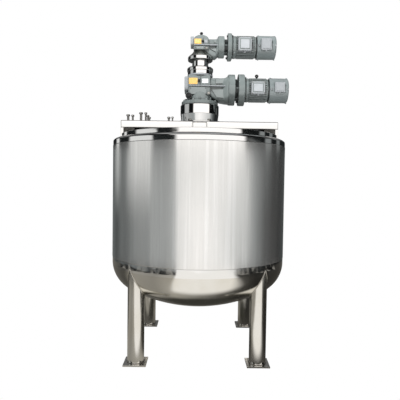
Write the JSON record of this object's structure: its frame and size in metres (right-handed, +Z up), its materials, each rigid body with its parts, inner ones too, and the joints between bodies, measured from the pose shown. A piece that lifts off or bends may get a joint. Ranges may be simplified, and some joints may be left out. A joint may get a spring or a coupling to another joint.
{
  "type": "mixing tank",
  "caption": "Upright stainless mixing tank on pipe legs, with a bridge that carries twin stacked gearmotors and a hinged half lid.",
  "frame": {"origin": "floor level on the tank's vertical axis, between the four foot plates", "axes": "+Z up; -Y is the front, the side of the hinged lid and of the terminal boxes; +X is the way the motors point"},
  "size_m": [1.521, 1.5, 2.755],
  "materials": {
    "brushed_steel": "fine vertical brushing",
    "mirror_steel": "mirror-polished stainless steel",
    "inner_steel": "polished stainless steel inside the tank",
    "drive_paint": "grey-green enamel on castings",
    "drive_paint_light": "light grey enamel",
    "cowl_paint": "grey enamel on sheet metal",
    "black_plastic": "black"
  },
  "bodies": {
    "tank": {"shell_cladding": "brushed_steel", "bottom_dish": "mirror_steel", "bottom_outlet": "mirror_steel", "top_shoulder": "mirror_steel", "leg_front_left": "mirror_steel", "leg_front_right": "mirror_steel", "leg_rear_left": "mirror_steel", "leg_rear_right": "mirror_steel", "foot_plate_front_left": "mirror_steel", "foot_plate_front_right": "mirror_steel", "foot_plate_rear_left": "mirror_steel", "foot_plate_rear_right": "mirror_steel", "rear_cover": "mirror_steel", "bridge_beam": "mirror_steel", "bridge_foot_left": "mirror_steel", "bridge_foot_right": "mirror_steel", "stub_1": "mirror_steel", "stub_2": "mirror_steel", "stub_3": "mirror_steel", "stub_4": "mirror_steel", "stub_5": "mirror_steel", "stub_6": "mirror_steel", "stub_7": "mirror_steel", "stub_8": "mirror_steel", "seal_housing": "mirror_steel", "lantern": "mirror_steel", "lower_output_flange": "drive_paint", "lower_gearbox": "drive_paint", "lower_side_cover": "drive_paint", "lower_neck": "drive_paint", "lower_motor": "drive_paint", "lower_terminal_box": "drive_paint_light", "lower_fan_cowl": "cowl_paint", "motor_eyebolt": "black_plastic", "lower_top_cover": "drive_paint_light", "spool": "mirror_steel", "upper_output_flange": "mirror_steel", "upper_gearbox": "drive_paint", "upper_side_cover": "drive_paint", "upper_neck": "drive_paint", "upper_motor": "drive_paint", "upper_terminal_box": "drive_paint_light", "upper_fan_cowl": "cowl_paint", "breather_cap": "black_plastic", "outer_shaft": "inner_steel", "scraper_frame": "inner_steel", "inner_shaft": "inner_steel", "paddle_lower": "inner_steel", "paddle_upper": "inner_steel"},
    "lid": {"front_lid": "mirror_steel", "lid_handle": "mirror_steel"}
  },
  "joints": [
    {"name": "lid_hinge", "type": "hinge", "parent": "tank", "child": "lid", "pos_m": [0, -0.2125, 1.8526], "axis": [-1, 0, 0], "range_deg": [0, 90]}
  ]
}
